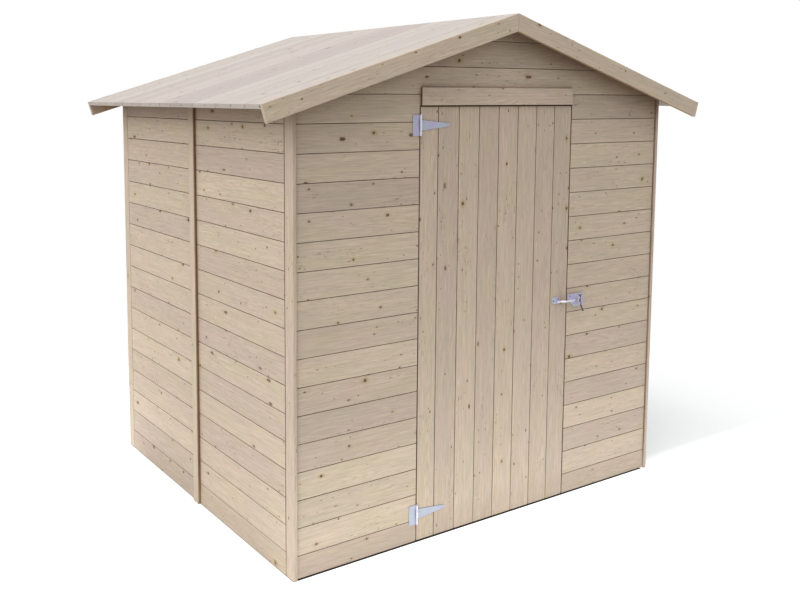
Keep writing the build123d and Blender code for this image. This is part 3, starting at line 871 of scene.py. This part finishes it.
for node in ("upper_hinge_plate", "lower_hinge_plate", "hinge_pins"):
    fitting(node, "shed", rubbed_and_highlit_off_sheet)
for node in ("upper_hinge_strap", "lower_hinge_strap"):
    fitting(node, "door", rubbed_and_highlit_off_sheet)

plate_screws = bmesh.new()
strap_screws = bmesh.new()
for which in ("upper", "lower"):
    low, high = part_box(f"{which}_hinge_plate")
    middle = (low.z + high.z) / 2
    spots = [Vector((low.x + dx, sheet_face, middle + dz)) for dx, dz in PLATE_SCREWS]
    screw_heads(plate_screws, spots, -Y)
    low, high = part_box(f"{which}_hinge_strap")
    spots = [Vector((low.x + dx, sheet_face, middle + dz)) for dx, dz in STRAP_SCREWS]
    spots.append(Vector((high.x - TIP_SCREW, sheet_face, middle)))
    screw_heads(strap_screws, spots, -Y)
finish_piece(plate_screws, "hinge-plate-screws", zinc_steel, "shed", [])
finish_piece(strap_screws, "hinge-strap-screws", zinc_steel, "door", [])


# Gate latch: a round bar on an oval plate screwed to the leaf, and on the wall a plate with a slotted jaw
# and a pawl that drops in front of the bar by its own weight. The screws and the pawl are coloured dark
# brown-grey.
LATCH_SCREW_HEAD = 0.0034
LATCH_SCREWS = ((0.012, 0.046), (0.080, 0.046), (0.080, 0.010), (0.060, 0.010))
STRIKER_SCREWS = ((0.0065, 0.014), (0.034, 0.021))
SCREW_DARKENING = -0.8
PAWL_DARKENING = -0.85

fitting("latch_body", "shed", lambda place: 0.0)
fitting("door_striker", "door", rubbed_and_highlit_off_sheet)
fitting("latch_pawl", "pawl", lambda place: PAWL_DARKENING)

for node, places, name, body in (
    ("latch_body", LATCH_SCREWS, "latch-plate-screws", "shed"),
    ("door_striker", STRIKER_SCREWS, "striker-plate-screws", "door"),
):
    low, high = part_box(node)
    screws = bmesh.new()
    spots = [Vector((low.x + dx, sheet_face, low.z + dz)) for dx, dz in places]
    screw_heads(screws, spots, -Y, LATCH_SCREW_HEAD, SCREW_DARKENING)
    finish_piece(screws, name, zinc_steel, body, [])


# Floor: a pale studio floor, painted near black under the shed as painted shade. In front of the shed and
# behind it, it glows as a painted light on the boards from below. Far off it looks white but gives back
# little light.
FLOOR_RADIUS = 40.0
UNDER_MIDDLE = (-0.013, 0.031, 0)        # middle of the painted shade on the ground under the walls
UNDER_HALF = (0.915, 0.773, 0)           # half its width and half its depth
UNDER_EDGE = (0.0005, 0.006)             # it gives way to the pale floor over this distance
GLOW_SPAN = (0.5, 0.9)                   # the floor's glow, a painted light on the boards from below, sets in this far in front or behind
GLOW = 0.92
GLOW_SEEN = 0.30                         # the least that the near floor glows where it is looked at
FAR = (0.4, 1.5)                         # the near floor gives way to the far one over this distance

slab = bmesh.new()
bmesh.ops.create_circle(slab, segments=96, radius=FLOOR_RADIUS, cap_ends=True)
floor_mesh = bpy.data.meshes.new("floor")
slab.to_mesh(floor_mesh)
slab.free()
floor = bpy.data.objects.new("floor", floor_mesh)
bpy.context.scene.collection.objects.link(floor)
floor_white = bpy.data.materials.new("floor_white")
n = Nodes(floor_white)
n.tree.nodes.remove(n.shader)
seen = n.add("ShaderNodeLightPath").outputs
direct = n.math("MAXIMUM", seen["Is Camera Ray"], seen["Is Glossy Ray"])
direct = n.math("MAXIMUM", direct, seen["Is Transmission Ray"])
place = n.here()
aside = n.vector("ABSOLUTE", n.vector("SUBTRACT", place, UNDER_MIDDLE))
aside = n.vector("MAXIMUM", n.vector("SUBTRACT", aside, UNDER_HALF), (0, 0, 0))
away = n.vector("LENGTH", aside)
open_floor = n.steps(away, *UNDER_EDGE)
pale = n.mix(direct, (0.66, 0.68, 0.67, 1), (0.85, 0.87, 0.87, 1))
# painted shade: the floor is near black under the shed and gives no glow there
pale = n.mix(open_floor, (0.03, 0.025, 0.02, 1), pale)
lit = n.add("ShaderNodeBsdfDiffuse", {"Color": pale}).outputs[0]
# painted light: the floor glows in front of and behind the shed, lighting the boards from below
glow = n.steps(n.parts(n.vector("ABSOLUTE", place))["Y"], *GLOW_SPAN, 0.0, GLOW)
glow = n.math("MAXIMUM", glow, n.math("MULTIPLY", direct, GLOW_SEEN))
glow = n.math("MULTIPLY", glow, open_floor)
lift = n.add("ShaderNodeEmission", {"Color": (0.95, 1.0, 0.98, 1), "Strength": glow}).outputs[0]
near = n.add("ShaderNodeAddShader", {0: lit, 1: lift}).outputs[0]
grey = n.add("ShaderNodeBsdfDiffuse", {"Color": (0.43, 0.42, 0.40, 1)}).outputs[0]
white = n.add("ShaderNodeEmission", {"Color": (1, 1, 1, 1), "Strength": 1.0}).outputs[0]
far = n.add("ShaderNodeMixShader", {0: direct, 1: grey, 2: white}).outputs[0]
whole = n.add("ShaderNodeMixShader", {0: n.steps(away, *FAR), 1: near, 2: far}).outputs[0]
n.set(n.tree.nodes["Material Output"].inputs["Surface"], whole)
floor_mesh.materials.append(floor_white)


# Light: a white surround that lights the shed like a soft dome, warm low down and cool above, with a broad
# soft panel on the left and a lamp overhead.
DOME = 0.355
DOME_TINTS = [(0.0, (1.0, 0.92, 0.83)), (0.8, (0.90, 0.95, 1.06))]     # at the horizon and overhead

studio = bpy.data.worlds.new("studio")
bpy.context.scene.world = studio
n = Nodes(studio)
n.tree.nodes.remove(n.tree.nodes["Background"])
seen = n.add("ShaderNodeLightPath").outputs
direct = n.math("MAXIMUM", seen["Is Camera Ray"], seen["Is Glossy Ray"])
direct = n.math("MAXIMUM", direct, seen["Is Transmission Ray"])
above = n.parts(n.add("ShaderNodeTexCoord").outputs["Generated"])["Z"]
dome = n.add("ShaderNodeBackground", {"Color": n.ramp(above, DOME_TINTS), "Strength": DOME}).outputs[0]
white = n.add("ShaderNodeBackground", {"Color": (1, 1, 1, 1), "Strength": 1.0}).outputs[0]
whole = n.add("ShaderNodeMixShader", {0: direct, 1: dome, 2: white}).outputs[0]
n.set(n.tree.nodes["World Output"].inputs["Surface"], whole)

for name, share, colour, spread, way in (
    ("left_panel", 0.575, (1.0, 0.995, 0.99), 60, (-0.75, -0.05, 0.66)),
    ("overhead", 0.29, (1.0, 0.97, 0.95), 40, (-0.10, -0.40, 0.91)),
):
    lamp_data = bpy.data.lights.new(name, "SUN")
    lamp_data.angle = radians(spread)
    lamp_data.energy = pi * share
    lamp_data.color = colour
    lamp = bpy.data.objects.new(name, lamp_data)
    bpy.context.scene.collection.objects.link(lamp)
    lamp.rotation_euler = Vector(way).to_track_quat("Z", "Y").to_euler()


# Camera: at standing height off the front left corner, looking a little down, with the lens shifted to keep
# the whole shed in view.
STANDPOINT = Vector((-2.4949, -3.3935, 1.6731))
AZIMUTH = radians(33.163)
DOWN = radians(6.015)
ROLL = radians(0.048)
FOCAL_LENGTH = 41.872
SENSOR_WIDTH = 36.0

camera_data = bpy.data.cameras.new("camera")
camera_data.lens = FOCAL_LENGTH
camera_data.sensor_width = SENSOR_WIDTH
camera_data.shift_x = 0.0825
camera_data.shift_y = -0.13
camera = bpy.data.objects.new("camera", camera_data)
bpy.context.scene.collection.objects.link(camera)
forward = Vector((sin(AZIMUTH) * cos(DOWN), cos(AZIMUTH) * cos(DOWN), -sin(DOWN)))
right = Vector((cos(AZIMUTH), -sin(AZIMUTH), 0))
upward = right.cross(forward)
right, upward = right * cos(ROLL) + upward * sin(ROLL), upward * cos(ROLL) - right * sin(ROLL)
turn = Matrix((right, upward, -forward)).transposed().to_4x4()
camera.matrix_world = Matrix.Translation(STANDPOINT) @ turn
bpy.context.scene.camera = camera
bpy.context.scene.view_settings.view_transform = "Standard"
